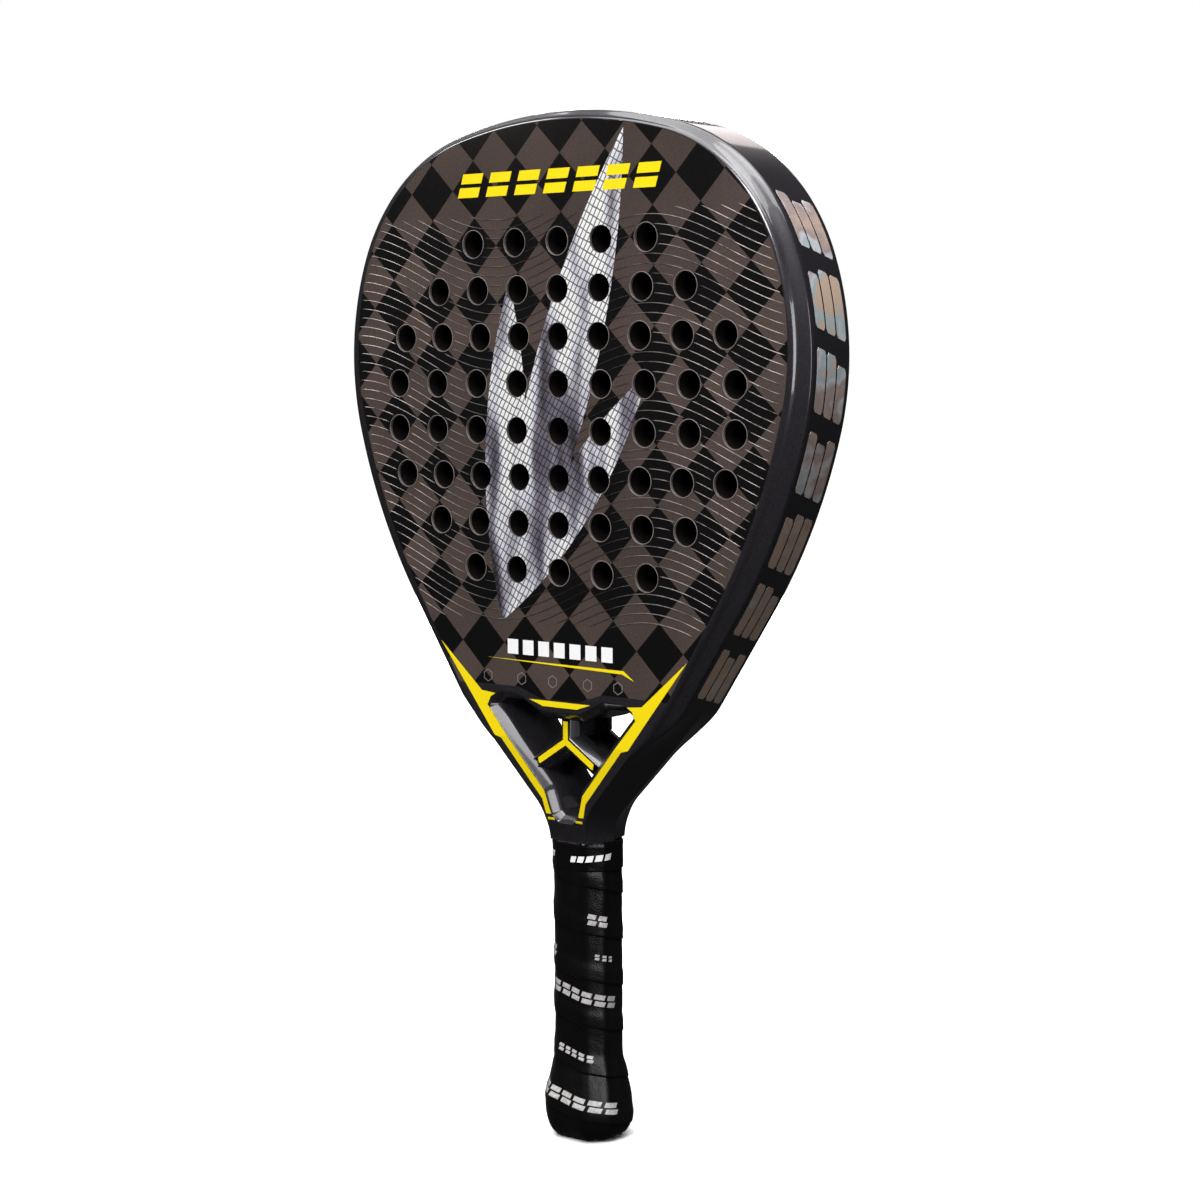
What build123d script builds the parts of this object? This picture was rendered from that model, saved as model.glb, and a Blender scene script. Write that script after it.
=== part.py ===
from build123d import *
import os
from math import atan2, cos, degrees, hypot, radians, sin, sqrt

# Padel racket, millimetres. X runs across the face, -Y is the front, +Z is up the racket.
# The origin is the middle of the butt's flat end.

# Overall sizes
overall_length = 455.0
thickness = 38.0
transfer = 0.1              # film thickness of every printed or foil graphic
half_depth = thickness / 2 - transfer
core_centre = overall_length - 127.6    # height of the middle of the hole pattern

# Handle: half width, half depth and corner cut of the outside, by height
handle_outside = [
    (0.0, 14.5, 12.2, 6.6),
    (2.5, 17.4, 15.0, 8.0),
    (8.0, 19.6, 17.2, 9.2),
    (16.0, 19.9, 17.5, 9.4),
    (25.0, 18.3, 15.9, 8.6),
    (36.0, 16.1, 13.9, 7.5),
    (46.0, 15.6, 13.4, 7.2),
]
neck_step = (0.4, 0.2)      # how much narrower and thinner the bare neck is than the grip

# Outline of the rim: convex arcs from the top of the head down one side, as (radius, sweep in degrees)
rim_top = overall_length
rim_arcs = [(238.0, 15.6), (86.8, 54.0), (128.0, 34.9), (254.0, 19.0)]
rim_straight = 34.0         # straight lower side of the head
rim_bend = (119.0, 9.6)     # turn from the head's lower side into the throat arm
band_overrun = 14.0         # how much longer the raised side band runs before it stops

# Outline of the flat face, drawn the same way
face_margin = 4.4           # rim to flat face at the top of the head
face_arcs = [(236.0, 13.8), (82.6, 56.1), (117.4, 33.9), (281.6, 17.7)]
face_straight = 43.2
face_bend = (131.0, 12.1)
neck_radius = 25.0
arm_ridge = 6.4             # how far the ridge of an arm stands outside the flat front
neck_face_half = handle_outside[-1][1] - neck_step[0] - arm_ridge

# Side profile of the rim: (share of the way from the rim outline to the face outline, depth below the face)
rim_profile = [(0.0, 6.6), (0.04, 5.6), (0.12, 4.8), (0.59, 2.3), (0.76, 0.9), (0.9, 0.2), (1.0, 0.0)]

# Frame tube
tube_width = 12.5
tube_wall = 2.2
cavity_cover = 7.9          # face to the hollow in the tube
cavity_depth = half_depth - cavity_cover

# Perforated core and face plies
hole_diameter = 12.0
row_pitch = 20.5
half_rows = [(9, 23.8), (9, 22.6), (7, 23.2), (5, 24.4)]    # (holes, pitch) from the middle row outwards
glass_ply = 0.7
carbon_ply = 0.6
ply_stack = glass_ply + carbon_ply

# Throat, heights measured from the middle of the hole pattern
core_bottom = core_centre - 114.0
strip_low = core_centre - 128.3     # lower edge of the face plies at the middle
strip_rise = 4.3                    # how far that edge rises beside the middle
bridge_low = core_centre - 134.5    # underside of the bridge at the middle
bridge_rise = 6.7                   # how far the underside rises beside the middle
wave_places = (10.5, 24.0, 36.0)    # from the middle to the foot of the rise and to both ends of its crest
wave_far = (200.0, 0.4)             # a place outside the racket, and the share of the rise left there
opening_crown = 35.5                # half width of the opening under the bridge
opening_shoulder = (39.9, core_centre - 130.4)
opening_corner = (41.5, core_centre - 133.5)
opening_bend = (10.2, core_centre - 169.5)
opening_foot = (7.0, core_centre - 180.0)
opening_heel = 4.0                  # half width of the opening's bottom
opening_bottom = core_centre - 183.0
recede_start = core_centre - 147.0  # where the neck starts to get thinner
recede_end = (handle_outside[-1][2] - neck_step[1], core_centre - 191.0)
recede_mid = (recede_end[0] + 2.5, core_centre - 182.0)
band_end = (68.5, core_centre - 129.0)
ramp_foot = (46.0, core_centre - 145.0)
throat_top = core_centre - 100.0
neck_bottom = core_centre - 192.0

# Brace in the throat opening
brace_recess = 3.9          # face to the front of the brace
brace_half_depth = half_depth - brace_recess
brace_width = 8.5
brace_joint = core_centre - 147.0
brace_reach = (25.0, core_centre - 163.0)
brace_trim_width = 2.7
brace_trim_ends = [(18.0, core_centre - 138.0), (18.0, core_centre - 147.0), (15.5, core_centre - 158.0)]

# Handle layers, from the outside in
handle_top = neck_bottom
tape_height = 13.0
tape_film = 0.35
overgrip_film = 0.8
base_grip_film = 1.7
shell_wall = 1.6
grip_depth = overgrip_film + base_grip_film
leg_depth = grip_depth + shell_wall     # outer surface of the grip to the frame's legs
leg_gap = 5.2               # between the two legs of the frame
leg_wall = 1.5
leg_bottom = 10.0           # also the thickness of the butt cap's floor
cap_top = 34.0
lanyard_hole = 7.0
grip_low = 0.0              # where the wrapped grips end above the butt's flat end

# Graphics
bar_size = (12.0, 10.4)
bar_slant = 3.4
bar_count = 7
bar_slit = 1.7
bar_centre = core_centre + 97.5
bar_pitch = 16.6
blade_foot = (-33.0, core_centre - 95.0)
blade_leaves = [(224.0, 17.0, 18.2), (150.0, 12.0, 2.0), (138.0, 11.0, 37.0)]   # length, half width, lean
mark_size = (6.2, 6.6)
mark_count = 7
mark_centre = core_centre - 106.2
mark_pitch = 9.0
underline = [(-42.0, -111.9), (36.0, -112.5), (41.8, -116.6), (35.4, -114.0)]   # from the pattern's middle
wing = [                    # right wing from the pattern's middle; its inner side is trimmed to the opening
    (70.3, -106.5),
    (46.0, -127.3),
    (37.0, -128.2),
    (20.0, -150.0),
    (0.0, -180.0),
    (10.7, -180.0),
    (12.5, -173.5),
    (34.5, -148.0),
    (38.3, -147.0),
    (50.0, -132.0),
]
wing_margin = 0.9           # opening to wing
throat_bar = [(17.5, -129.0), (9.8, -131.5)]
dash_size = (3.8, 1.1)
dash_place = (8.0, core_centre - 182.2)
foil_top = core_centre + 88.0
foil_bottom = core_centre - 124.0
foil_count = 7
foil_margin = 1.9           # edge of the side band to the foil
foil_half_depth = half_depth - rim_profile[0][1] - foil_margin
foil_gap = 8.0


def outline(blend=0.0, inset=0.0, overrun=0.0):
    """Closed racket outline in the XY plane, Y up. blend runs from the rim, 0, to the face, 1.

    Every arc meets the next one in tangent, so taking inset off each radius is a true offset.
    """
    def mix(a, b):
        return a + (b - a) * blend

    arcs = [(mix(r[0], f[0]), mix(r[1], f[1])) for r, f in zip(rim_arcs, face_arcs)]
    bend_radius, bend_sweep = mix(rim_bend[0], face_bend[0]), mix(rim_bend[1], face_bend[1])
    straight = mix(rim_straight + overrun, face_straight)
    neck_half = mix(neck_face_half + arm_ridge, neck_face_half) - inset
    concave = neck_radius + inset

    parts = []
    point, heading = Vector(0, rim_top - mix(0.0, face_margin) - inset), Vector(-1, 0)
    for radius, sweep in arcs:
        parts.append(JernArc(point, heading, radius - inset, sweep))
        point, heading = parts[-1] @ 1, parts[-1] % 1
    parts.append(Line(point, point + heading * straight))
    parts.append(JernArc(parts[-1] @ 1, heading, bend_radius - inset, bend_sweep))
    point, heading = parts[-1] @ 1, parts[-1] % 1
    lean = sum(sweep for _, sweep in arcs) + bend_sweep - 90.0
    arm_end = -(neck_half + concave * (1 - cos(radians(lean))))
    parts.append(Line(point, point + heading * ((arm_end - point.X) / sin(radians(lean)))))
    parts.append(JernArc(parts[-1] @ 1, heading, concave, -lean))
    point = parts[-1] @ 1
    parts.append(Line(point, (point.X, neck_bottom)))
    half = Curve() + parts
    foot = Line((point.X, neck_bottom), (-point.X, neck_bottom))
    return make_face(half + foot + mirror(half, about=Plane.YZ))


def slab(sketch, low, high):
    """Extrude a sketch of the XY plane into the racket, from depth y=low to y=high."""
    return extrude(Plane.XZ.offset(-high) * sketch, high - low)


def both_ways(points):
    """The points of a left-right symmetric polygon, given its right half from top to bottom."""
    return points + [(-x, z) for x, z in reversed(points)]


def region(points):
    return make_face(Polyline(*points, close=True))


def from_middle(points):
    """A polygon given from the middle of the hole pattern."""
    return region([(x, core_centre + z) for x, z in points])


def block(z_low, z_high, half_width=400.0, half_y=100.0):
    height = z_high - z_low
    return Pos(0, 0, z_low + height / 2) * Box(2 * half_width, 2 * half_y, height)


def holes():
    """Hole pattern as circles of the XY plane."""
    circles = Sketch()
    for row, (count, pitch) in enumerate(half_rows):
        for side in (1, -1):
            z = core_centre + side * (row + 0.5) * row_pitch
            for k in range(count):
                circles += Pos((k - (count - 1) / 2) * pitch, z) * Circle(hole_diameter / 2)
    return circles


def wave(low, rise):
    """Polygon that covers everything below a shallow W-shaped line."""
    foot, crest_start, crest_end = wave_places
    far, share = wave_far
    top = [(foot, low), (crest_start, low + rise), (crest_end, low + rise)]
    top += [(far, low + share * rise), (far, 0)]
    return region(both_ways(top))


def handle_solid(inset, z_low, z_high):
    """Inside of the grip at a given depth under its outer surface, between two heights."""
    sections = list(handle_outside) + [(handle_top,) + handle_outside[-1][1:]]
    faces = []
    for z, half_w, half_d, cut in sections:
        plan = Rectangle(2 * (half_w - inset), 2 * (half_d - inset))
        plan = chamfer(plan.vertices(), cut - (2 - sqrt(2)) * inset)
        faces.append(Pos(0, 0, z) * plan)
    return loft(faces, ruled=True) & block(z_low, z_high)


def leg_solid(inset, z_low, z_high):
    """The frame's two legs inside the handle, shrunk by inset."""
    half_w, half_d, cut = (size - leg_depth for size in handle_outside[-1][1:])
    plan = Rectangle(2 * (half_w - inset), 2 * (half_d - inset))
    plan = chamfer(plan.vertices(), cut + (sqrt(2) - 1) * leg_depth - (2 - sqrt(2)) * inset)
    plan -= Rectangle(leg_gap + 2 * inset, 4 * half_d)
    return extrude(Pos(0, 0, z_low) * plan, z_high - z_low)


def rim_body():
    """The head with its raised side band, down to the ramps where the band stops."""
    front = [(drop - half_depth, blend) for blend, drop in reversed(rim_profile)]
    rear = [(half_depth - drop, blend) for blend, drop in rim_profile]
    sections = [Plane.XZ.offset(-y) * outline(blend, overrun=band_overrun) for y, blend in front + rear]
    solid = loft(sections, ruled=True)
    keep = region(both_ways([(200, 2 * rim_top), (200, band_end[1]), band_end, ramp_foot]))
    return solid & slab(keep, -50, 50)


def arm_body():
    """Throat arms and neck: flat front and back with a ridge along the outside."""
    faces = [
        Plane.XZ.offset(half_depth) * outline(1.0),
        Plane.XZ * outline(1.0, inset=-arm_ridge),
        Plane.XZ.offset(-half_depth) * outline(1.0),
    ]
    return loft(faces, ruled=True) & block(neck_bottom, throat_top)


def neck_taper(grow=0.0):
    """Side view of the racket: full depth down to the throat, then thinner to the neck."""
    right = [(half_depth, 2 * rim_top), (half_depth, recede_start), recede_mid, recede_end,
             (recede_end[0], neck_bottom - 1)]
    right = [(depth + grow, z) for depth, z in right]
    return extrude(Plane.YZ.offset(-300) * region(both_ways(right)), 600)


def opening():
    """Throat opening under the bridge."""
    corners = both_ways([
        (opening_crown, 2 * rim_top),
        (opening_crown, bridge_low + bridge_rise),
        opening_shoulder,
        opening_corner,
        opening_bend,
        opening_foot,
        (opening_heel, opening_bottom),
    ])
    return region(corners) & wave(bridge_low, bridge_rise)


def face_region():
    """The flat face above the throat, where the plies lie."""
    return outline(1.0) - wave(strip_low, strip_rise)


def inner_region():
    """Everything the frame tube encloses above the throat opening."""
    below = region([(-300, 0), (300, 0), (300, bridge_low), (-300, bridge_low)])
    return outline(0.0, inset=tube_width) - below


def make_frame_tube():
    body = (rim_body() + arm_body()) & neck_taper()
    body -= slab(inner_region(), -50, 50)
    body -= slab(opening(), -50, 50)
    rebate = face_region()
    for low, high in ((-50, ply_stack - half_depth), (half_depth - ply_stack, 50)):
        body -= slab(rebate, low, high)
    hollow = outline(0.0, inset=2 * tube_wall) - outline(0.0, inset=tube_width - tube_wall)
    body -= slab(hollow, -cavity_depth, cavity_depth) & block(opening_bend[1], 2 * rim_top)
    body += leg_solid(0.0, leg_bottom, neck_bottom)
    body -= leg_solid(leg_wall, leg_bottom - 1, neck_bottom + 4)
    for side in (-1, 1):
        body -= make_side_foil(side)
    return body


def make_bridge():
    body = slab(inner_region() - opening(), -half_depth, half_depth) & block(0, core_bottom)
    for low, high in ((-50, ply_stack - half_depth), (half_depth - ply_stack, 50)):
        body -= slab(face_region(), low, high)
    return body


def brace_plan(width):
    """Y shape: a stem under the bridge and two legs to the arms."""
    middle = (0.0, brace_joint)
    plan = Pos(*middle) * Circle(width / 2)
    for x, z in [(0.0, strip_low), brace_reach, (-brace_reach[0], brace_reach[1])]:
        rise = z - brace_joint
        turn = degrees(atan2(rise, x))
        plan += Location((x / 2, brace_joint + rise / 2), (0, 0, turn)) * Rectangle(hypot(x, rise), width)
    return plan


def make_brace():
    return slab(brace_plan(brace_width) & opening(), -brace_half_depth, brace_half_depth)


def make_brace_trim(side):
    """Thin coloured line along the middle of the brace."""
    plan = brace_plan(brace_trim_width) & region(both_ways(brace_trim_ends))
    y = side * brace_half_depth
    return slab(plan, min(y, y + side * transfer), max(y, y + side * transfer))


def ply(region_sketch, side, outer, inner):
    """A sheet between two depths under the face, on the front (side -1) or the rear (side 1)."""
    low, high = sorted((side * (half_depth - outer), side * (half_depth - inner)))
    return slab(region_sketch, low, high)


def film(sketch, side):
    """A graphic that lies on the flat face."""
    return ply(sketch, side, -transfer, 0.0)


def bar_marks():
    """A row of slanted, slit bars across the top of the face, and a thin underline low on it."""
    half_w, half_h = bar_size[0] / 2, bar_size[1] / 2
    bars = Sketch()
    for k in range(bar_count):
        x = (k - (bar_count - 1) / 2) * bar_pitch
        bars += region([
            (x - half_w - bar_slant / 2, bar_centre - half_h),
            (x + half_w - bar_slant / 2, bar_centre - half_h),
            (x + half_w + bar_slant / 2, bar_centre + half_h),
            (x - half_w + bar_slant / 2, bar_centre + half_h),
        ])
    bars -= Pos(0, bar_centre) * Rectangle(2 * bar_count * bar_pitch, bar_slit)
    return bars + from_middle(underline)


def blades():
    """Three slender leaves that fan out from one foot low on the face."""
    fan = Sketch()
    for length, half_width, lean in blade_leaves:
        right = ThreePointArc((0, 0), (half_width, length / 2), (0, length))
        left = ThreePointArc((0, length), (-half_width, length / 2), (0, 0))
        fan += Location(blade_foot, (0, 0, -lean)) * make_face(right + left)
    return fan


def model_marks():
    """A short row of upright dashes."""
    marks = Sketch()
    for k in range(mark_count):
        marks += Pos((k - (mark_count - 1) / 2) * mark_pitch, mark_centre) * Rectangle(*mark_size)
    return marks


def throat_graphic():
    """A wing beside each side of the throat opening, with a dash under it, and a bar above the opening."""
    trim = offset(opening(), wing_margin, kind=Kind.INTERSECTION)
    right = from_middle(wing) - trim + Pos(*dash_place) * Rectangle(*dash_size)
    return right + mirror(right, about=Plane.YZ) + from_middle(both_ways(throat_bar))


def make_throat_decal(side):
    """Film over the throat that follows the slope of the neck."""
    front = slab(throat_graphic(), *sorted((0.0, side * thickness)))
    return front & (neck_taper(transfer) - neck_taper())


def make_side_foil(side):
    """Foil panels on the raised side band of one side."""
    ring = outline(0.0, inset=0.0, overrun=band_overrun) - outline(0.0, inset=transfer, overrun=band_overrun)
    height = (foil_top - foil_bottom - (foil_count - 1) * foil_gap) / foil_count
    panels = Part()
    for k in range(foil_count):
        z = foil_bottom + k * (height + foil_gap)
        band = slab(ring, -foil_half_depth, foil_half_depth) & block(z, z + height)
        panels += band & Pos(side * 100, 0, 300) * Box(200, 100, 900)
    return panels


def make_handle_core():
    """Foam between and round the hollow legs, inside the handle shell."""
    foam = handle_solid(leg_depth, leg_bottom, handle_top)
    return foam - leg_solid(0.0, leg_bottom, handle_top + 1)


def make_butt_cap():
    """Cup that closes the handle, with a hole through its floor for the wrist cord."""
    cup = handle_solid(grip_depth, 0.0, cap_top)
    inside = handle_solid(leg_depth, leg_bottom, cap_top + 1)
    return cup - inside - extrude(Circle(lanyard_hole / 2), leg_bottom)


def shell_between(outer, inner, z_low, z_high):
    return handle_solid(outer, z_low, z_high) - handle_solid(inner, z_low - 1, z_high + 1)


def make_parts():
    """Every piece of the racket, by node name."""
    hole_sketch = holes()
    face = face_region()
    lay = face - hole_sketch
    core = slab(inner_region() - hole_sketch, ply_stack - half_depth, half_depth - ply_stack)
    made = {
        "frame_tube": make_frame_tube(),
        "throat_bridge": make_bridge(),
        "throat_brace": make_brace(),
        "foam_core": core & block(core_bottom, 2 * rim_top),
    }
    for name, side in (("front", -1), ("rear", 1)):
        made[f"{name}_carbon_ply"] = ply(lay, side, 0.0, carbon_ply)
        made[f"{name}_glass_ply"] = ply(lay, side, carbon_ply, ply_stack)
        made[f"{name}_bar_marks"] = film(bar_marks(), side)
        made[f"{name}_blade_foil"] = film(blades() - hole_sketch - bar_marks(), side)
        made[f"{name}_model_marks"] = film(model_marks(), side)
        made[f"{name}_throat_decal"] = make_throat_decal(side)
        made[f"{name}_brace_trim"] = make_brace_trim(side)
    for name, side in (("left", -1), ("right", 1)):
        made[f"{name}_side_foil"] = make_side_foil(side)

    made["handle_core"] = make_handle_core()
    made["handle_shell"] = shell_between(grip_depth, leg_depth, cap_top, handle_top)
    made["butt_cap"] = make_butt_cap()
    made["base_grip"] = shell_between(overgrip_film, grip_depth, grip_low, handle_top)
    made["overgrip"] = shell_between(0.0, overgrip_film, grip_low, handle_top - tape_height / 2)
    made["finishing_tape"] = shell_between(-tape_film, 0.0, handle_top - tape_height, handle_top)
    return made


os.makedirs("parts", exist_ok=True)
for name, solid in make_parts().items():
    export_step(solid, f"parts/{name}.step")
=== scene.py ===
from math import atan2, cos, exp, hypot, pi, radians, sin, sqrt, tan

import bmesh
import bpy
from mathutils import Matrix, Vector, noise
from mathutils.geometry import tessellate_polygon


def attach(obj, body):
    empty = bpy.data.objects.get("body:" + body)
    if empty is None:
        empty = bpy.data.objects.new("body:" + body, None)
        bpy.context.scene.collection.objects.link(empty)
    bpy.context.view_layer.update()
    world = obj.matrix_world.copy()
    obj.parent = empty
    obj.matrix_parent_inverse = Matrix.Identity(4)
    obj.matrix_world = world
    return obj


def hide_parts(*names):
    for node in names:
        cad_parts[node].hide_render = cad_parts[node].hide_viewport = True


# A padel racket. The racket's own frame: X across the face, -Y out of the front, +Z up, origin at
# the middle of the butt's flat end. Sizes are in millimetres and turn to metres as they are put.

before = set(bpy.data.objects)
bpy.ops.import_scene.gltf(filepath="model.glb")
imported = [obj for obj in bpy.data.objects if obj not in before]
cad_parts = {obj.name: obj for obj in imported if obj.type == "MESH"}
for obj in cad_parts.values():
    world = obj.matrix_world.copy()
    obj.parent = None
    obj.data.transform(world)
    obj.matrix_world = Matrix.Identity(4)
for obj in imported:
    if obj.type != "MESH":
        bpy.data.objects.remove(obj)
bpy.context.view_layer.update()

# ---------------------------------------------------------------- sizes, in millimetres

MM = 0.001
CORE = 327.4                              # middle of the hole pattern above the butt's flat end
TOP = 455.0
FACE = 18.9                               # half depth of the flat faces
FILM = 0.1

# Rim and flat face: arcs (radius, sweep) down one side, then a straight and a bend into the throat
RIM_ARCS = [(238.0, 15.6), (86.8, 54.0), (128.0, 34.9), (254.0, 19.0)]
RIM_STRAIGHT, RIM_BEND = 48.0, (119.0, 9.6)
FACE_ARCS = [(236.0, 13.8), (82.6, 56.1), (117.4, 33.9), (281.6, 17.7)]
FACE_STRAIGHT, FACE_BEND = 43.2, (131.0, 12.1)
FACE_MARGIN = 4.4
ARC_STEPS = (34, 44, 42, 44)
STRAIGHT_STEPS, BEND_STEPS = 40, 24
NECK_HALF, NECK_RADIUS, NECK_LOW = 8.8, 25.0, CORE - 192.0
ARM_RIDGE = 6.4
LIP = [(1.0, 0.0), (0.9, 0.2), (0.76, 0.9), (0.59, 2.3), (0.12, 4.8), (0.04, 5.6), (0.0, 6.6)]
LIP_STEPS, BAND_STEPS = 6, 8
RAMP = (Vector((68.5, CORE - 129.0)), Vector((46.0, CORE - 145.0)))
RAMP_SOFT, FOOT_SOFT = 2.4, 3.0           # rounding where the band meets the ramp and the ramp the arm
TAPER = [(CORE - 147.0, FACE), (CORE - 182.0, 15.7), (CORE - 191.0, 13.2)]

# Edge of the face plies over the throat, seam of the bridge, and the throat opening with its
# corner radii
STRIP = [(0.0, -128.3), (10.5, -128.3), (24.0, -124.0), (36.0, -124.0), (200.0, -126.58)]
SEAM_X = (56.5, 52.5)
SEAM_LOW = CORE - 134.5
OPENING = [
    (0.0, -183.0, 0.0),
    (4.0, -183.0, 1.6),
    (7.0, -180.0, 2.4),
    (10.2, -169.5, 7.0),
    (41.5, -133.5, 2.6),
    (39.9, -130.4, 2.0),
    (35.5, -127.8, 3.0),
    (24.0, -127.8, 6.0),
    (10.5, -134.5, 6.0),
    (0.0, -134.5, 0.0),
]
OPENING_WALL = [                          # (distance outside the opening, depth below the face)
    (0.9, 0.0), (0.66, 0.05), (0.42, 0.22), (0.12, 0.55), (-0.7, 1.5), (-1.6, 2.6),
    (-2.4, 3.7), (-2.75, 4.4), (-2.95, 5.3), (-3.05, 6.8), (-3.1, 10.0),
]

BRACE_JOINT = CORE - 147.0
BRACE_SIDE = [                            # (half width of a bar, half depth), from the middle out
    (5.4, 8.0), (5.35, 9.6), (5.1, 10.8), (4.6, 11.8), (2.6, 14.45), (2.3, 14.82), (2.0, 14.97),
    (1.75, 15.0),
]
BRACE_TOP, BRACE_LEG, BRACE_RUN = CORE - 132.5, 24.6, Vector((0.842, -0.539))

HOLE = 6.0
HALF_ROWS = [(9, 23.8), (9, 22.6), (7, 23.2), (5, 24.4)]
ROW_PITCH = 20.5

# Handle: (height, half width, half depth, corner cut)
HANDLE = [
    (0.0, 14.5, 12.2, 6.6),
    (2.5, 17.4, 15.0, 8.0),
    (8.0, 19.6, 17.2, 9.2),
    (16.0, 19.9, 17.5, 9.4),
    (25.0, 18.3, 15.9, 8.6),
    (36.0, 16.1, 13.9, 7.5),
    (46.0, 15.6, 13.4, 7.2),
    (NECK_LOW, 15.6, 13.4, 7.2),
]
SOFT_CORNERS = 22.0
WRAP_PITCH, WRAP_WIDTH, WRAP_START = 21.0, 27.5, 12.4
WRAP_STEP, WRAP_THICK = 0.5, 0.4
WRAP_EDGE_DROP, WRAP_EDGE_RUN = 0.42, 0.6  # rounding of a turn's lower edge
LAP_START, LAP_RUN = 5.0, 4.5             # where a turn sinks to lie under the next one
TAPE_LOW = NECK_LOW - 13.0


# ---------------------------------------------------------------- mesh helpers


def put(bm, x, y, z):
    return bm.verts.new((x * MM, y * MM, z * MM))


def grid(bm, rows, close=False):
    """Faces between rows of vertices; close also joins each row's last vertex to its first."""
    for a, b in zip(rows, rows[1:]):
        count = len(a)
        for k in range(count if close else count - 1):
            bm.faces.new((a[k], a[(k + 1) % count], b[(k + 1) % count], b[k]))


def weld(bm, distance=0.002):
    bmesh.ops.remove_doubles(bm, verts=bm.verts, dist=distance * MM)
    bmesh.ops.dissolve_degenerate(bm, edges=bm.edges, dist=0.0005 * MM)
    bmesh.ops.recalc_face_normals(bm, faces=bm.faces)


def mirror_x(bm):
    """Add the left half."""
    copied = bmesh.ops.duplicate(bm, geom=bm.verts[:] + bm.edges[:] + bm.faces[:])["geom"]
    for vert in (g for g in copied if isinstance(g, bmesh.types.BMVert)):
        vert.co.x = -vert.co.x
    weld(bm)


def piece(name, bm, material, replaced=(), smooth=32.0, weighted=False):
    """Turn a bmesh into a piece of the racket."""
    mesh = bpy.data.meshes.new(name)
    bm.to_mesh(mesh)
    bm.free()
    mesh.materials.append(material)
    mesh.shade_smooth()
    mesh.set_sharp_from_angle(angle=radians(smooth))
    made = bpy.data.objects.new(name, mesh)
    bpy.context.scene.collection.objects.link(made)
    if weighted:
        normals = made.modifiers.new("weighted_normals", "WEIGHTED_NORMAL")
        normals.keep_sharp = True
    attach(made, "root")
    if replaced:
        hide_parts(*replaced)
    return made


def smoothstep(t):
    t = min(max(t, 0.0), 1.0)
    return t * t * (3 - 2 * t)


def soft_min(a, b, k):
    """The smaller of two lengths, rounded over where they are within k of each other."""
    if k <= 0:
        return min(a, b)
    h = max(k - abs(a - b), 0.0) / k
    return min(a, b) - h * h * k / 4


def soft_max(a, b, k):
    return -soft_min(-a, -b, k)


def follow(points, x):
    """Straight interpolation in a list of (x, y, ...) with x rising or falling."""
    if points[0][0] > points[-1][0]:
        points = points[::-1]
    if x <= points[0][0]:
        return points[0][1:]
    for a, b in zip(points, points[1:]):
        if x <= b[0]:
            t = (x - a[0]) / (b[0] - a[0])
            return tuple(p + (q - p) * t for p, q in zip(a[1:], b[1:]))
    return points[-1][1:]


def curve_through(points, steps):
    """Catmull-Rom points through a list of tuples."""
    ends = [points[0]] + list(points) + [points[-1]]
    made = []
    for a, b, c, d in zip(ends, ends[1:], ends[2:], ends[3:]):
        for k in range(steps):
            t = k / steps
            made.append(tuple(0.5 * (2 * q + (r - p) * t + (2 * p - 5 * q + 4 * r - s) * t * t
                                     + (3 * q - p - 3 * r + s) * t ** 3)
                              for p, q, r, s in zip(a, b, c, d)))
    return made + [tuple(points[-1])]


# ---------------------------------------------------------------- outlines


def outward(heading):
    return Vector((sin(radians(heading)), cos(radians(heading))))


def along(heading):
    return Vector((cos(radians(heading)), -sin(radians(heading))))


class Side:
    """A line down the right side of the racket: points of the XZ plane with their headings."""

    def __init__(self, top):
        self.line = [(Vector((0.0, top)), 0.0)]

    def turn(self, radius, sweep, steps):
        start, heading = self.line[-1]
        centre = start - radius * outward(heading)
        for k in range(1, steps + 1):
            angle = heading + sweep * k / steps
            self.line.append((centre + radius * outward(angle), angle))

    def go(self, length, steps):
        start, heading = self.line[-1]
        for k in range(1, steps + 1):
            self.line.append((start + along(heading) * length * k / steps, heading))


def head_side(top, arcs, straight, bend):
    side = Side(top)
    for (radius, sweep), steps in zip(arcs, ARC_STEPS):
        side.turn(radius, sweep, steps)
    side.go(straight, STRAIGHT_STEPS)
    side.turn(*bend, BEND_STEPS)
    return side


def face_side():
    """The flat face's edge, down to the neck."""
    side = head_side(TOP - FACE_MARGIN, FACE_ARCS, FACE_STRAIGHT, FACE_BEND)
    point, heading = side.line[-1]
    lean = heading - 90.0
    arm_end = NECK_HALF + NECK_RADIUS * (1 - cos(radians(lean)))
    side.go((point.x - arm_end) / sin(radians(lean)), 24)
    side.turn(-NECK_RADIUS, -lean, 16)
    side.go(side.line[-1][0].y - NECK_LOW, 5)
    return side.line


def half_thickness(z):
    """Half depth of the frame at a height: full down to the throat, then thinner to the neck."""
    return follow(TAPER, z)[0]


def stations():
    """Places down the right side: (point of the face's edge, outward direction, reach of the rim)."""
    face = face_side()
    rim = head_side(TOP, RIM_ARCS, RIM_STRAIGHT, RIM_BEND).line
    bend_start = len(rim) - BEND_STEPS
    made, reach = [], 0.0
    for k, (point, heading) in enumerate(face):
        out = outward(heading)
        if k < len(rim):
            gap = rim[k][0] - point
            reach = gap.length
            out = gap.normalized().lerp(out, smoothstep((k - bend_start) / BEND_STEPS)).normalized()
        made.append((point, out, reach - FILM))
    for cut in [(lambda p, z=z: p.y - z) for z, _ in TAPER] + [lambda p: p.y - strip_height(p.x)]:
        for k, (a, b) in enumerate(zip(made, made[1:])):
            before, after = cut(a[0]), cut(b[0])
            if before > 0 > after:
                t = before / (before - after)
                out = a[1].lerp(b[1], t).normalized()
                made.insert(k + 1, (a[0].lerp(b[0], t), out, a[2] + (b[2] - a[2]) * t))
                break
    return made


def strip_height(x):
    """Lower edge of the face plies."""
    return CORE + follow(STRIP, x)[0]


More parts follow.
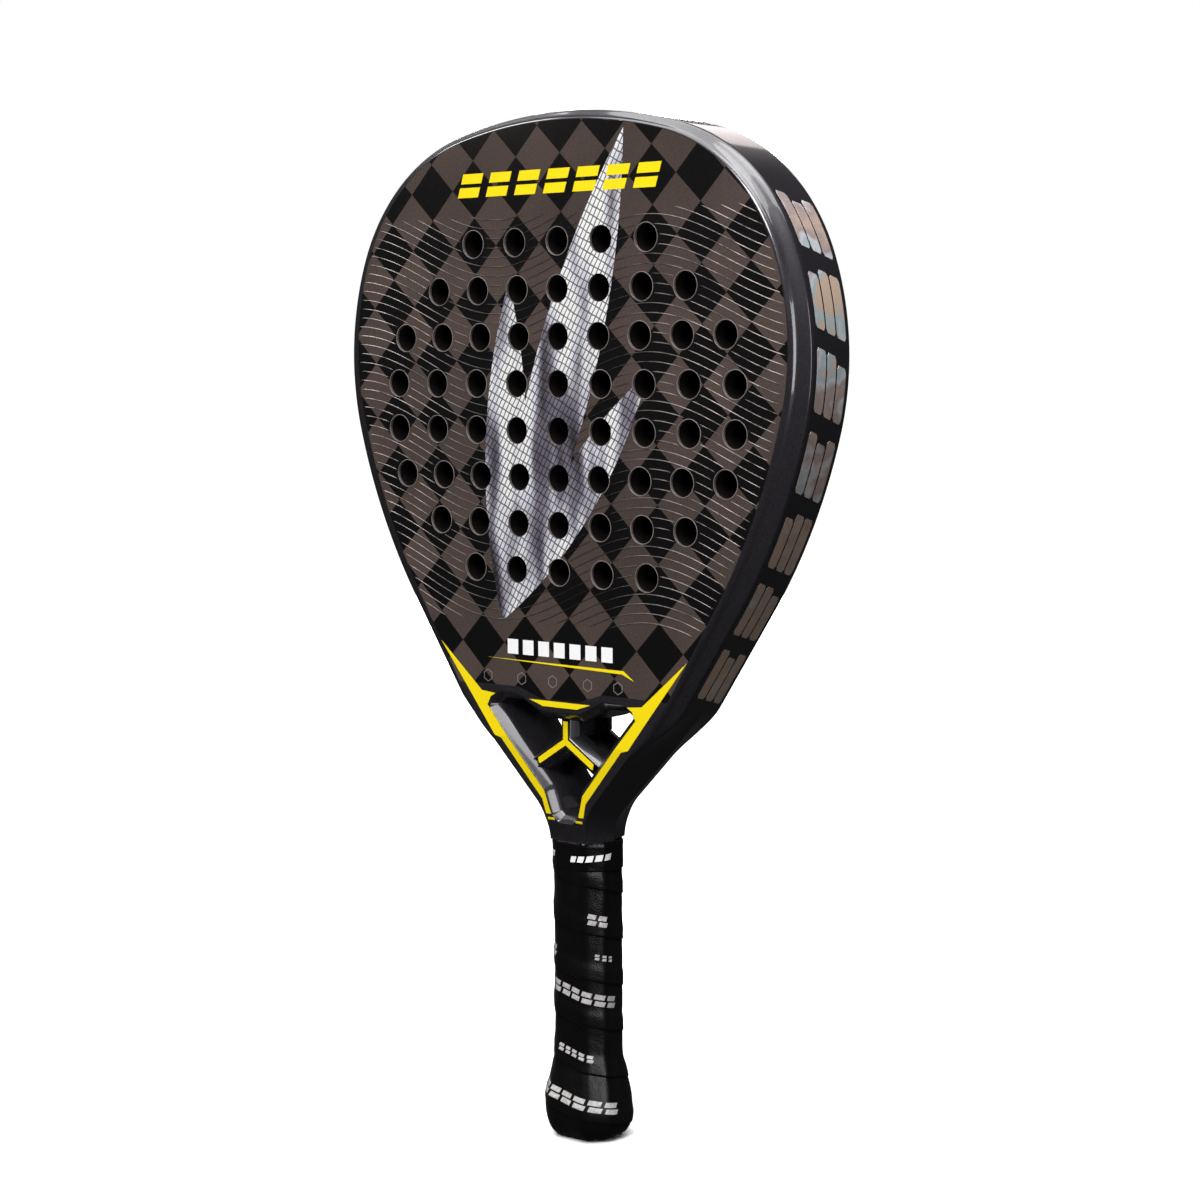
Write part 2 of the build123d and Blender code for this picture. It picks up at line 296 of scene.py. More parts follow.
def opening_corners(grow):
    """Corners of the throat opening's right half, every side moved outwards by grow: (point, radius)."""
    spots = [Vector((x, CORE + z)) for x, z, _ in OPENING]
    runs = [(b - a).normalized() for a, b in zip(spots, spots[1:])]
    corners = []
    for k, (spot, (_, _, radius)) in enumerate(zip(spots, OPENING)):
        before, after = runs[max(k - 1, 0)], runs[min(k, len(runs) - 1)]
        normals = Vector((before.y + after.y, -before.x - after.x))
        bend = 1 if before.x * after.y > before.y * after.x else -1
        corners.append((spot + normals * grow / (1 + before.dot(after)), max(radius + bend * grow, 0.1)))
    return corners


def opening_path(grow):
    """Points along the throat opening's right half from its bottom to its top, with rounded corners."""
    corners = opening_corners(grow)
    path = [corners[0][0]]
    for (last, _), (corner, radius), (following, _) in zip(corners, corners[1:], corners[2:]):
        before, after = (corner - last).normalized(), (following - corner).normalized()
        turn = atan2(before.x * after.y - before.y * after.x, before.dot(after))
        start = corner - before * radius * tan(abs(turn) / 2)
        bend = 1 if turn > 0 else -1
        out = Vector((before.y, -before.x))
        centre = start - bend * out * radius
        for step in range(7):
            c, s = cos(turn * step / 6), sin(turn * step / 6)
            path.append(centre + bend * radius * Vector((out.x * c - out.y * s, out.x * s + out.y * c)))
    return path + [corners[-1][0]]


def opening_rings():
    """The opening's path at every step of its wall, and the place where frame and bridge meet."""
    rings = [opening_path(grow) for grow, _ in OPENING_WALL]
    half = rings[0][:len(rings[0]) // 2 + 6]
    return rings, max(k for k, point in enumerate(half) if point.y < SEAM_LOW)


# ---------------------------------------------------------------- frame, bridge and brace


def section_rows():
    """Rows round the frame from the front face to the rear: (share of the reach, depth, side)."""
    lip = [(1 - blend, depth) for blend, depth in curve_through(LIP, LIP_STEPS)]
    low = LIP[-1][1]
    band = [(1.0, low + (FACE - low) * k / BAND_STEPS) for k in range(1, BAND_STEPS + 1)]
    front = [(share, depth, -1) for share, depth in lip + band]
    return front + [(share, depth, 1) for share, depth, _ in front[-2::-1]]


def edge_width(point, out):
    """How far the flat face has widened where the neck gets thinner."""
    width = 0.0
    for _ in range(5):
        width = ARM_RIDGE * (1 - half_thickness(point.y + out.y * width) / FACE)
    return width


def ramp_reach(point, out):
    """Distance from the face's edge to the ramp that ends the raised band."""
    run = (RAMP[1] - RAMP[0]).normalized()
    away = Vector((-run.y, run.x))
    slope = out.dot(away)
    return (RAMP[0] - point).dot(away) / slope if slope > 0.3 else 1000.0


def frame_skin(bm, places):
    """The rim, its raised side band, the ramps and the outer sides of the arms and neck."""
    grid_rows = []
    for point, out, reach in places:
        ramp = ramp_reach(point, out)
        thick = half_thickness(point.y + out.y * edge_width(point, out))
        row = []
        for share, depth, side in section_rows():
            y = (1 - depth / FACE) * thick
            arm = ARM_RIDGE * (1 - y / FACE)
            band = soft_min(share * reach, ramp, RAMP_SOFT)
            soft = FOOT_SOFT * min(1.0, depth / 4) * (1 - smoothstep((ramp - reach) / FOOT_SOFT))
            width = soft_max(min(arm, reach), band, soft) if ramp < 60 else band
            spot = point + out * width
            row.append(put(bm, spot.x, side * y, spot.y))
        grid_rows.append(row)
    grid(bm, grid_rows)
    return grid_rows


def plates(bm, border, wall, rings):
    """Front and rear plates over a border of the XZ plane, and the walls between them.

    wall is a straight wall; rings are the paths of the opening's bevelled wall.
    """
    triangles = tessellate_polygon([[Vector((p.x, p.y, 0)) for p in border]])
    for side in (-1, 1):
        verts = [put(bm, p.x, side * FACE, p.y) for p in border]
        for triangle in triangles:
            bm.faces.new([verts[k] for k in triangle])
    grid(bm, [[put(bm, p.x, side * FACE, p.y) for p in wall] for side in (-1, 1)])
    steps = [(ring, depth) for ring, (_, depth) in zip(rings, OPENING_WALL)]
    rows = [[put(bm, p.x, depth - FACE, p.y) for p in ring] for ring, depth in steps]
    rows += [[put(bm, p.x, FACE - depth, p.y) for p in ring] for ring, depth in steps[::-1]]
    grid(bm, rows)
    weld(bm)
    for z, _ in TAPER:
        whole = bm.verts[:] + bm.edges[:] + bm.faces[:]
        bmesh.ops.bisect_plane(bm, geom=whole, plane_co=(0, 0, z * MM), plane_no=(0, 0, 1),
                               dist=0.001 * MM)
    for vert in bm.verts:
        thinner = (FACE - half_thickness(vert.co.z / MM)) * MM
        vert.co.y -= thinner if vert.co.y > 0 else -thinner


def make_frame():
    """One moulded frame: head, arms and neck, without the bridge."""
    places = stations()
    cross = next(k for k, (p, _, _) in enumerate(places) if p.y - strip_height(p.x) < 0.001)
    rings, seam = opening_rings()
    edge = [p + out * edge_width(p, out) for p, out, _ in places[cross:]]
    seam_top = Vector((SEAM_X[0], strip_height(SEAM_X[0])))
    seam_foot = Vector((SEAM_X[1], SEAM_LOW))
    rings = [ring[:seam + 1] for ring in rings]
    border = edge + [Vector((0.0, NECK_LOW))] + rings[0] + [seam_foot, seam_top]
    bm = bmesh.new()
    plates(bm, border, [edge[0], seam_top, seam_foot, rings[0][-1]], rings)
    rows = frame_skin(bm, places)
    inner = [(put(bm, p.x, -FACE, p.y), put(bm, p.x, FACE, p.y)) for p, _, _ in places[:cross + 1]]
    grid(bm, inner)
    low = half_thickness(NECK_LOW)
    bm.faces.new([put(bm, 0, -low, NECK_LOW)] + [put(bm, *(v.co / MM)) for v in rows[-1]]
                 + [put(bm, 0, low, NECK_LOW)])
    mirror_x(bm)
    piece("frame_shell", bm, lacquer, ["frame_tube"], weighted=True)


def make_bridge():
    """The bridge under the face plies, with its wavy underside."""
    rings, seam = opening_rings()
    rings = [ring[seam:] for ring in rings]
    top = [Vector((x, strip_height(x))) for x in [x for x, _ in STRIP[:-1]] + [SEAM_X[0]]]
    seam_foot = Vector((SEAM_X[1], SEAM_LOW))
    bm = bmesh.new()
    plates(bm, top + [seam_foot] + rings[0], top + [seam_foot, rings[0][0]], rings)
    mirror_x(bm)
    piece("bridge_shell", bm, lacquer, ["throat_bridge"], weighted=True)


def brace_plan(half):
    """Outline of the brace where its bars are half wide to either side: a stem and two legs."""
    run = BRACE_RUN
    up = Vector((-run.y, run.x))
    joint = Vector((0.0, BRACE_JOINT))
    upper = joint + up * half + run * ((half - up.x * half) / run.x)
    lower = joint - up * half + run * (up.x * half / run.x)
    right = [Vector((half, BRACE_TOP)), upper, joint + up * half + run * BRACE_LEG,
             joint - up * half + run * BRACE_LEG]
    return right + [lower] + [Vector((-p.x, p.y)) for p in right[::-1]]


def make_brace():
    """Y-shaped brace in the throat opening, narrow in front and sloping out to its sides."""
    bm = bmesh.new()
    rows = [[put(bm, p.x, side * y, p.y) for p in brace_plan(half)]
            for side in (-1, 1) for half, y in BRACE_SIDE[::-side]]
    grid(bm, rows, close=True)
    bm.faces.new(rows[0])
    bm.faces.new(rows[-1])
    bmesh.ops.recalc_face_normals(bm, faces=bm.faces)
    piece("brace_shell", bm, brace_lacquer, ["throat_brace"], weighted=True)


# ---------------------------------------------------------------- side band foil

FOIL_TOP, FOIL_LOW = CORE + 88.0, CORE - 124.0
FOIL_COUNT, FOIL_GAP = 7, 8.0
FOIL_BARS = 3
FOIL_HALF, FOIL_SLIT, FOIL_ROUND, FOIL_SLANT = 10.4, 1.1, 0.9, 0.3
FOIL_STEP, FOIL_SINK, FOIL_INSET = 1.5, 0.05, 3.0


def band_line():
    """The side band's middle line as (length down it, point, outward direction)."""
    line, length, last = [], 0.0, None
    for point, out, reach in stations():
        spot = point + out * reach
        length += (spot - last).length if last else 0.0
        line.append((length, spot.x, spot.y, out.x, out.y))
        last = spot
    return line


def foil_stroke(bm, line, start, end, y_low, y_high, side):
    """One bar of foil with rounded corners, a thin closed strip bent round the band."""
    steps = max(4, int((end - start) / FOIL_STEP))
    rows = []
    for k in range(steps + 1):
        place = start + (end - start) * k / steps
        short = min(place - start, end - place, FOIL_ROUND)
        trim = FOIL_ROUND - sqrt(max(FOIL_ROUND ** 2 - (FOIL_ROUND - short) ** 2, 0.0))
        ring = []
        low, high = y_low + trim, y_high - trim
        for y, lift in ((low, -FOIL_SINK), (low, FILM), (high, FILM), (high, -FOIL_SINK)):
            x, z, out_x, out_z = follow(line, place + FOIL_SLANT * y)
            ring.append(put(bm, side * (x + out_x * lift), y, z + out_z * lift))
        rows.append(ring)
    grid(bm, rows, close=True)
    bm.faces.new(rows[0])
    bm.faces.new(rows[-1])


def make_foil(side, name):
    """Panels of three slit bars along the side band."""
    line = band_line()
    top = next(place for place, _, z, _, _ in line if z < FOIL_TOP)
    low = next(place for place, _, z, _, _ in line if z < FOIL_LOW)
    height = (low - top - (FOIL_COUNT - 1) * FOIL_GAP) / FOIL_COUNT
    width = (2 * FOIL_HALF - (FOIL_BARS - 1) * FOIL_SLIT) / FOIL_BARS
    bm = bmesh.new()
    for k in range(FOIL_COUNT):
        start = top + k * (height + FOIL_GAP)
        for row in range(FOIL_BARS):
            y = -FOIL_HALF + row * (width + FOIL_SLIT)
            inset = FOIL_INSET * ((k + row) % FOIL_BARS == 1)
            foil_stroke(bm, line, start + inset, start + height, y, y + width, side)
    bmesh.ops.recalc_face_normals(bm, faces=bm.faces)
    piece(f"{name}_foil_bars", bm, hologram, [f"{name}_side_foil"])


# ---------------------------------------------------------------- face details

RIB_PITCH, RIB_SWING, RIB_LENGTH, RIB_ZERO = 4.1, 12.0, 170.0, 7.5
RIB_LOW, RIB_HIGH, RIB_MARGIN, RIB_HALF, RIB_HEIGHT = -95.0, 84.0, 0.6, 0.23, 0.09
RIB_REACH = 128                           # the lines are followed this far to either side
RIB_HOLE_MARGIN, RIB_SINK = 0.7, 0.05


def hole_centres():
    for row, (count, pitch) in enumerate(HALF_ROWS):
        for side in (1, -1):
            for k in range(count):
                yield (k - (count - 1) / 2) * pitch, CORE + side * (row + 0.5) * ROW_PITCH


def rib_runs():
    """The stretches of every wavy relief line that lie on the face, between holes."""
    edge = [(p.y, p.x) for p, _, _ in stations()]
    holes = list(hole_centres())
    clear = HOLE + RIB_HOLE_MARGIN
    count = int((RIB_HIGH - RIB_LOW + 2 * RIB_SWING) / RIB_PITCH)
    for k in range(count + 1):
        run = []
        for x in range(-RIB_REACH, RIB_REACH):
            wave = RIB_SWING * sin(2 * pi * (x - RIB_ZERO) / RIB_LENGTH)
            z = RIB_LOW - RIB_SWING + k * RIB_PITCH + wave
            inside = RIB_LOW < z < RIB_HIGH and abs(x) < follow(edge, CORE + z)[0] - RIB_MARGIN
            if inside and all(hypot(x - a, CORE + z - b) > clear for a, b in holes):
                run.append((x, CORE + z))
                continue
            if len(run) > 2:
                yield run
            run = []
        if len(run) > 2:
            yield run


def make_ribs(side, name):
    """Fine raised wavy lines over the face."""
    bm = bmesh.new()
    for run in rib_runs():
        rows = []
        for k, (x, z) in enumerate(run):
            size = min(1.0, (k + 0.4) / 2, (len(run) - k - 0.6) / 2)
            half, height = RIB_HALF * size, RIB_HEIGHT * size
            crest = FACE + height
            section = ((-half, FACE - RIB_SINK), (-half * 0.4, crest), (half * 0.4, crest),
                       (half, FACE - RIB_SINK))
            rows.append([put(bm, x, side * y, z + dz) for dz, y in section])
        grid(bm, rows, close=True)
        bm.faces.new(rows[0])
        bm.faces.new(rows[-1])
    bmesh.ops.recalc_face_normals(bm, faces=bm.faces)
    piece(f"{name}_relief_ribs", bm, rib)


RING_SECTION = [                          # (radius, height above the face)
    (HOLE - 0.03, -0.5), (HOLE + 0.02, 0.03), (HOLE + 0.12, 0.08), (HOLE + 0.3, 0.05),
    (HOLE + 0.4, -0.04),
]
RING_STEPS = 48


def make_hole_rings(side, name):
    """The thin lacquered edge round each drilled hole, painted pale grey as a highlight."""
    bm = bmesh.new()
    for x, z in hole_centres():
        rows = []
        for k in range(RING_STEPS):
            turn = 2 * pi * k / RING_STEPS
            rows.append([put(bm, x + r * cos(turn), side * (FACE + lift), z + r * sin(turn))
                         for r, lift in RING_SECTION])
        grid(bm, rows + rows[:1], close=True)
    bmesh.ops.recalc_face_normals(bm, faces=bm.faces)
    piece(f"{name}_hole_rings", bm, hole_edge_highlight)


BADGE_X = (-42.0, -22.0, -4.0, 16.0, 33.0)
BADGE_Z, BADGE_SIZE, BADGE_LINE = CORE - 120.3, 2.9, 0.45
BADGE_SECTION = [                         # (radius, height above the face)
    (BADGE_SIZE - BADGE_LINE, -0.03), (BADGE_SIZE - BADGE_LINE, 0.05), (BADGE_SIZE, 0.05),
    (BADGE_SIZE, -0.03),
]


def make_badges(side, name):
    """A row of small faint hexagon outlines low on the face."""
    bm = bmesh.new()
    for centre in BADGE_X:
        rows = []
        for k in range(6):
            turn = pi / 6 + k * pi / 3
            rows.append([put(bm, centre + r * cos(turn), side * (FACE + lift), BADGE_Z + r * sin(turn))
                         for r, lift in BADGE_SECTION])
        grid(bm, rows + rows[:1], close=True)
    bmesh.ops.recalc_face_normals(bm, faces=bm.faces)
    piece(f"{name}_badges", bm, faint_print)


# ---------------------------------------------------------------- handle


def handle_table():
    """The handle's sizes smoothed over its height."""
    return curve_through(HANDLE[:-1], 8) + [HANDLE[-1]]


HANDLE_LINE = handle_table()


def handle_point(turn, z, lift):
    """A point of the handle's surface. turn is 0 at the front and grows towards +X."""
    half_w, half_d, cut = follow(HANDLE_LINE, z)
    a, b = abs(sin(turn)), abs(cos(turn))
    sides = (a / (half_w + lift), b / (half_d + lift), (a + b) / (half_w + half_d - cut + 1.3 * lift))
    radius = sum(s ** SOFT_CORNERS for s in sides) ** (-1 / SOFT_CORNERS)
    return radius * sin(turn), -radius * cos(turn), z


def wrinkle(x, y, z):
    """Small unevenness of hand-wound tape."""
    return 0.26 * noise.noise(Vector((x, y, z)) * 0.11) + 0.09 * noise.noise(Vector((x, y, z)) * 0.37)


def wrap_profile(v):
    """Lift of the overgrip at a distance up from a turn's lower edge, which lies on the turn below."""
    edge = -WRAP_EDGE_DROP * (1 - smoothstep(v / WRAP_EDGE_RUN))
    return edge - WRAP_STEP * smoothstep((v - LAP_START) / LAP_RUN)


def wrap_lift(turn, z):
    """Lift of the visible overgrip surface."""
    low = WRAP_START - WRAP_PITCH * turn / (2 * pi)
    x, y, _ = handle_point(turn, z, 0.0)
    return wrap_profile((z - low) % WRAP_PITCH) + wrinkle(x, y, z)


def make_overgrip():
    """One long tape wound up the handle, each turn lying over the edge of the turn below."""
    per_turn = 88
    first, last = -2 * per_turn, 6 * per_turn
    across = [0.0, 0.1, 0.25, 0.45] + [1.2 + k * (WRAP_WIDTH - 1.2) / 20 for k in range(21)]
    rows = []
    bm = bmesh.new()
    for k in range(first, last + 1):
        wind = 2 * pi * k / per_turn
        low = WRAP_START + WRAP_PITCH * wind / (2 * pi) + 0.35 * noise.noise(Vector((wind * 0.8, 0, 0)))
        ring = []
        for inside in (False, True):
            for v in across[::-1] if inside else across:
                x, y, _ = handle_point(-wind, low + v, 0.0)
                lift = wrap_profile(v) + wrinkle(x, y, low + v) - WRAP_THICK * inside
                ring.append(put(bm, *handle_point(-wind, low + v, lift)))
        rows.append(ring)
    grid(bm, rows, close=True)
    bm.faces.new(rows[0])
    bm.faces.new(rows[-1])
    bmesh.ops.recalc_face_normals(bm, faces=bm.faces)
    for z, clear in ((0.5, -1), (TAPE_LOW + 4.0, 1)):
        whole = bm.verts[:] + bm.edges[:] + bm.faces[:]
        cut = bmesh.ops.bisect_plane(bm, geom=whole, plane_co=(0, 0, z * MM), plane_no=(0, 0, clear),
                                     clear_outer=True, dist=0.0001 * MM)
        edges = [g for g in cut["geom_cut"] if isinstance(g, bmesh.types.BMEdge)]
        bmesh.ops.holes_fill(bm, edges=edges)
    piece("wound_overgrip", bm, grip, ["overgrip"], smooth=50)


def tube(bm, heights, outer, inner, count=96):
    """A closed sleeve round the handle; outer and inner give the lift at (turn, height)."""
    rows = []
    for k in range(count):
        turn = 2 * pi * k / count
        ring = [put(bm, *handle_point(turn, z, outer(turn, z))) for z in heights]
        ring += [put(bm, *handle_point(turn, z, inner(turn, z))) for z in heights[::-1]]
        rows.append(ring)
    grid(bm, rows + rows[:1], close=True)
    bmesh.ops.recalc_face_normals(bm, faces=bm.faces)


def make_base_grip():
    """The cushioned grip under the overgrip."""
    bm = bmesh.new()
    heights = [0.2] + [1.0 + 1.5 * k for k in range(int((TAPE_LOW + 10) / 1.5))]
    tube(bm, heights, lambda turn, z: -1.35, lambda turn, z: -2.3)
    piece("base_grip_sleeve", bm, grip, ["base_grip"])


def tape_lift(turn, z):
    """The finishing tape's surface: two layers, a lapped end and soft creases."""
    up = (z - TAPE_LOW) / (NECK_LOW - TAPE_LOW)
    rounding = -0.35 * (1 - smoothstep(up / 0.04)) - 0.3 * smoothstep((up - 0.95) / 0.05)
    lap = 0.14 * smoothstep((sin(turn - 2.4) - 0.1) / 0.03)
    crease = 0.14 * noise.noise(Vector((turn * 1.4, z * 0.35, 3.0)))
    roll = 0.16 * exp(-((up - 0.86) / 0.06) ** 2)
    return 0.12 + rounding + lap + crease + roll


def make_tape():
    """Vinyl finishing tape round the top of the grip."""
    bm = bmesh.new()
    heights = [TAPE_LOW + (NECK_LOW - 0.05 - TAPE_LOW) * smoothstep(k / 28) for k in range(29)]
    tube(bm, heights, tape_lift, lambda turn, z: -0.75, 128)
    piece("neck_tape", bm, tape, ["finishing_tape"], smooth=50)


DASH_RADIUS = 14.5                        # of the handle where the dashes lie
DASH_CELL = 0.8
GRIP_DASHES = [                           # (turn, height, count, width, height of the pair)
    (-0.55, 69.5, 6, 4.4, 5.4),
    (-0.35, 41.5, 5, 2.6, 3.2),
    (-0.75, 22.5, 6, 4.4, 5.2),
    (0.8, 101.0, 2, 3.4, 5.0),
    (0.95, 84.0, 3, 1.8, 2.6),
    (2.6, 62.0, 6, 4.4, 5.4),
    (2.9, 30.0, 5, 2.6, 3.2),
    (3.6, 92.0, 6, 4.4, 5.4),
]
GRIP_DASH_GAP, GRIP_DASH_LEAN = 1.3, 0.35


def patch(bm, turn, z, width, height, rise, lean, surface):
    """A small slanted mark on the handle. rise is its climb per millimetre round the handle."""
    rows = []
    across, up = max(3, int(width / DASH_CELL)), max(3, int(height / DASH_CELL))
    for lift in (0.08, -0.12):
        sheet = []
        for i in range(up + 1):
            line = []
            for j in range(across + 1):
                s, t = width * (j / across - 0.5), height * (i / up - 0.5)
                s += lean * t
                at_turn, at_z = turn + s / DASH_RADIUS, z + t + rise * s
                line.append(put(bm, *handle_point(at_turn, at_z, surface(at_turn, at_z) + lift)))
            sheet.append(line)
        rows.append(sheet)
    for sheet in rows:
        grid(bm, sheet)
    top, low = rows
    rim = [[sheet[0][j] for j in range(across + 1)] + [sheet[i][-1] for i in range(1, up + 1)]
           + [sheet[-1][j] for j in range(across - 1, -1, -1)] + [sheet[i][0] for i in range(up - 1, 0, -1)]
           for sheet in (top, low)]
    grid(bm, rim, close=True)


def make_marks():
    """Generic dashes: white on the finishing tape, silver on the overgrip."""
    bm = bmesh.new()
    for k in range(-2, 21):
        if k % 8 < 5:
            height = TAPE_LOW + 5.4 + 0.3 * (k % 8)
            patch(bm, 0.27 * k + 0.2, height, 2.9, 2.7, 0.08, 0.3, tape_lift)
    bmesh.ops.recalc_face_normals(bm, faces=bm.faces)
    piece("tape_dashes", bm, white)
    bm = bmesh.new()
    slope = -WRAP_PITCH / (2 * pi * DASH_RADIUS)
    for turn, z, count, width, height in GRIP_DASHES:
        for k in range(count):
            s = k * (width + GRIP_DASH_GAP)
            at_turn, at_z = turn + s / DASH_RADIUS, z + slope * s
            for low in (-0.28, 0.28):
                patch(bm, at_turn, at_z + low * height, width, height * 0.42, slope, GRIP_DASH_LEAN,
                      wrap_lift)
    bmesh.ops.recalc_face_normals(bm, faces=bm.faces)
    piece("grip_dashes", bm, grip_silver)


# ---------------------------------------------------------------- materials


class Shader:
    """A node material around one Principled shader."""

    def __init__(self, name):
        self.material = bpy.data.materials.new(name)
        self.material.use_nodes = True
        self.tree = self.material.node_tree
        self.bsdf = self.tree.nodes["Principled BSDF"]

    def set(self, **values):
        for key, value in values.items():
            self.bsdf.inputs[key.replace("_", " ")].default_value = value
        return self

    def node(self, kind, inputs=None, **settings):
        made = self.tree.nodes.new("ShaderNode" + kind)
        for key, value in settings.items():
            setattr(made, key, value)
        for key, value in (inputs or {}).items():
            self.feed(made.inputs[key], value)
        return made

    def feed(self, socket, value):
        if isinstance(value, bpy.types.NodeSocket):
            self.tree.links.new(value, socket)
        else:
            socket.default_value = value

    def place(self, scale=(1, 1, 1), turn=(0, 0, 0), shift=(0, 0, 0)):
        """Object coordinates, scaled, turned and shifted."""
        coords = self.node("TexCoord").outputs["Object"]
        inputs = {"Vector": coords, "Scale": scale, "Rotation": turn, "Location": shift}
        return self.node("Mapping", inputs).outputs[0]

    def math(self, operation, a, b=0.0, c=0.0, clamp=False):
        return self.node("Math", {0: a, 1: b, 2: c}, operation=operation, use_clamp=clamp).outputs[0]

    def noise(self, where, scale, detail=3.0, roughness=0.5):
        return self.node("TexNoise", {"Vector": where, "Scale": scale, "Detail": detail,
                                      "Roughness": roughness}).outputs["Fac"]

    def ramp(self, value, stops):
        made = self.node("ValToRGB", {"Fac": value})
        band = made.color_ramp
        while len(band.elements) < len(stops):
            band.elements.new(0.5)
        for element, (place, colour) in zip(band.elements, stops):
            element.position = place
            element.color = (*colour, 1.0)
        return made.outputs["Color"]

    def mix(self, factor, a, b, blend="MIX"):
        made = self.node("Mix", data_type="RGBA", blend_type=blend)
        self.feed(made.inputs[0], factor)
        self.feed(made.inputs[6], a if isinstance(a, bpy.types.NodeSocket) else (*a, 1.0))
        self.feed(made.inputs[7], b if isinstance(b, bpy.types.NodeSocket) else (*b, 1.0))
        return made.outputs[2]

    def colour(self, socket):
        self.feed(self.bsdf.inputs["Base Color"], socket)
        return self

    def rough(self, value, low, high):
        out = self.node("MapRange", {"Value": value, "To Min": low, "To Max": high}).outputs[0]
        self.feed(self.bsdf.inputs["Roughness"], out)
        return self

    def bump(self, height, distance, strength=1.0):
        made = self.node("Bump", {"Height": height, "Distance": distance, "Strength": strength})
        self.feed(self.bsdf.inputs["Normal"], made.outputs[0])
        return self


def srgb(r, g, b):
    """A linear colour from 0 to 255 display values."""
    return tuple(((v / 255 + 0.055) / 1.055) ** 2.4 if v > 10 else v / 255 / 12.92 for v in (r, g, b))


BLACK, WHITE = (0.0, 0.0, 0.0), (1.0, 1.0, 1.0)
CHECK_SIDE = 17.75 * MM
CHECK_TURN = radians(46.0)
CHECK_CENTRE = (-8.9 * MM, (CORE + 8.6) * MM)     # the middle of one pale square


def carbon_material():
    """Checked spread-tow carbon under clear lacquer: pale and black squares with fine fibre grain."""
    s = Shader("checked_carbon")
    coords = s.node("TexCoord").outputs["Object"]
    away = (-CHECK_CENTRE[0], 0.0, -CHECK_CENTRE[1])
    shifted = s.node("VectorMath", {0: coords, 1: away}, operation="ADD")
    turned = s.node("VectorRotate", {"Vector": shifted.outputs[0], "Angle": CHECK_TURN},
                    rotation_type="Y_AXIS")
    axes = s.node("SeparateXYZ", {0: turned.outputs[0]})
    steps = [s.math("FLOOR", s.math("MULTIPLY_ADD", axes.outputs[axis], 1 / CHECK_SIDE, 0.5))
             for axis in ("X", "Z")]
    parity = s.math("PINGPONG", s.math("ADD", *steps), 1.0)
    grains = []
    for stretch in ((260.0, 1.0, 4200.0), (4200.0, 1.0, 260.0)):
        fibres = s.node("VectorMath", {0: turned.outputs[0], 1: stretch}, operation="MULTIPLY").outputs[0]
        grains.append(s.noise(fibres, 1.0, 4.0, 0.65))
    speckle = s.noise(coords, 1900.0, 2.0, 0.8)
    cloud = s.noise(coords, 16.0, 2.0)
    pale = s.mix(grains[0], srgb(56, 47, 43), srgb(82, 70, 65))
    specks = s.math("MULTIPLY", s.ramp(speckle, [(0.4, BLACK), (0.75, WHITE)]), 0.55)
    pale = s.mix(specks, pale, srgb(112, 98, 91))
    pale = s.mix(s.ramp(cloud, [(0.3, BLACK), (0.7, WHITE)]), s.mix(0.3, pale, BLACK), pale)
    dark = s.mix(grains[1], srgb(1, 1, 2), srgb(13, 11, 12))
    s.colour(s.mix(parity, pale, dark))
    s.rough(grains[0], 0.45, 0.62)
    s.set(Coat_Weight=0.85, Coat_Roughness=0.1, Specular_IOR_Level=0.12)
    s.bump(grains[0], 0.00002, 0.3)
    return s.material


def lacquer_material(name, base, flake, rough=(0.25, 0.4)):
    """Black lacquer with a fine metallic flake."""
    s = Shader(name)
    flakes = s.noise(s.place(), 5200.0, 2.0, 0.8)
    patches = s.noise(s.place(), 60.0, 3.0)
    s.colour(s.mix(s.ramp(flakes, [(0.4, BLACK), (0.75, WHITE)]), srgb(*base), srgb(*flake)))
    s.rough(patches, *rough)
    s.set(Metallic=0.45, Coat_Weight=1.0, Coat_Roughness=0.07)
    s.bump(flakes, 0.00001, 0.2)
    return s.material


def film_material(name, colour, worn, rough=(0.3, 0.45), coat=0.4):
    """Printed film with a slight mottle."""
    s = Shader(name)
    mottle = s.noise(s.place(), 900.0, 4.0)
    s.colour(s.mix(mottle, srgb(*colour), srgb(*worn)))
    s.rough(mottle, *rough)
    s.set(Coat_Weight=coat, Coat_Roughness=0.08, Specular_IOR_Level=0.3)
    s.bump(s.noise(s.place(), 3500.0), 0.00001, 0.2)
    return s.material


HATCH_PITCH = 2.2 * MM


def silver_material():
    """Silver foil with soft light and dark sweeps of painted reflection, engraved with a fine diagonal
    hatch.
    """
    s = Shader("silver_foil")
    sweep = s.noise(s.place(scale=(44, 1, 9), turn=(0, radians(-18), 0)), 1.0, 2.0, 0.6)
    # Painted reflection: the sweeps run from dark grey to white over the foil.
    tone = s.ramp(sweep, [(0.36, srgb(58, 54, 62)), (0.44, srgb(134, 130, 144)),
                          (0.5, srgb(226, 226, 236)), (0.56, srgb(255, 255, 255))])
    waver = s.math("MULTIPLY", s.noise(s.place(), 70.0, 3.0, 0.7), 0.7)
    lines = []
    for turn, pitch, width in ((-30.0, HATCH_PITCH, 0.13), (62.0, 1.7 * HATCH_PITCH, 0.08)):
        across = s.node("SeparateXYZ", {0: s.place(turn=(0, radians(turn), 0))}).outputs["X"]
        cell = s.math("FRACT", s.math("MULTIPLY_ADD", across, 1 / pitch, waver))
        lines.append(s.math("LESS_THAN", s.math("ABSOLUTE", s.math("SUBTRACT", cell, 0.5)), width))
    tone = s.mix(s.math("MULTIPLY", s.math("MAXIMUM", *lines), 0.85), tone, srgb(26, 22, 26))
    s.colour(tone)
    s.rough(sweep, 0.3, 0.45)
    s.set(Metallic=0.25, Coat_Weight=0.5, Coat_Roughness=0.1)
    return s.material


